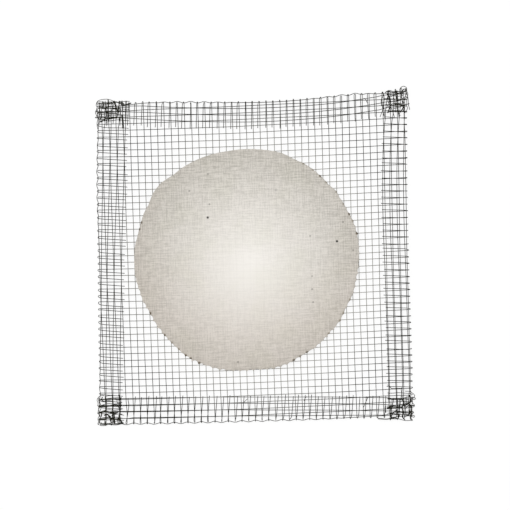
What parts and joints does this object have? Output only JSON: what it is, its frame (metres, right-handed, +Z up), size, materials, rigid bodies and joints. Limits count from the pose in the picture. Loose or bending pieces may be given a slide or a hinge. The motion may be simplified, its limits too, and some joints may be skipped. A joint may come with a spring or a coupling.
{
  "type": "wire gauze",
  "caption": "Square wire gauze with folded hems and a round ceramic disc cast into its middle, for spreading a burner's heat under glassware.",
  "frame": {"origin": "on the surface the gauze lies on, below the middle of its folded square", "axes": "+Z up, out of the face that glassware stands on; X along the weft wires and Y along the warp wires, with the longer side along Y"},
  "size_m": [0.125, 0.1302, 0.0031],
  "materials": {
    "iron_wire": "dull dark iron, lightly oxidised by heat",
    "ceramic": "matt, unglazed, pressed with a fine cloth texture"
  },
  "bodies": {
    "root": {"field_warps": "iron_wire", "hem_warps": "iron_wire", "field_wefts": "iron_wire", "hem_wefts": "iron_wire", "ceramic_disc": "ceramic"}
  },
  "joints": []
}
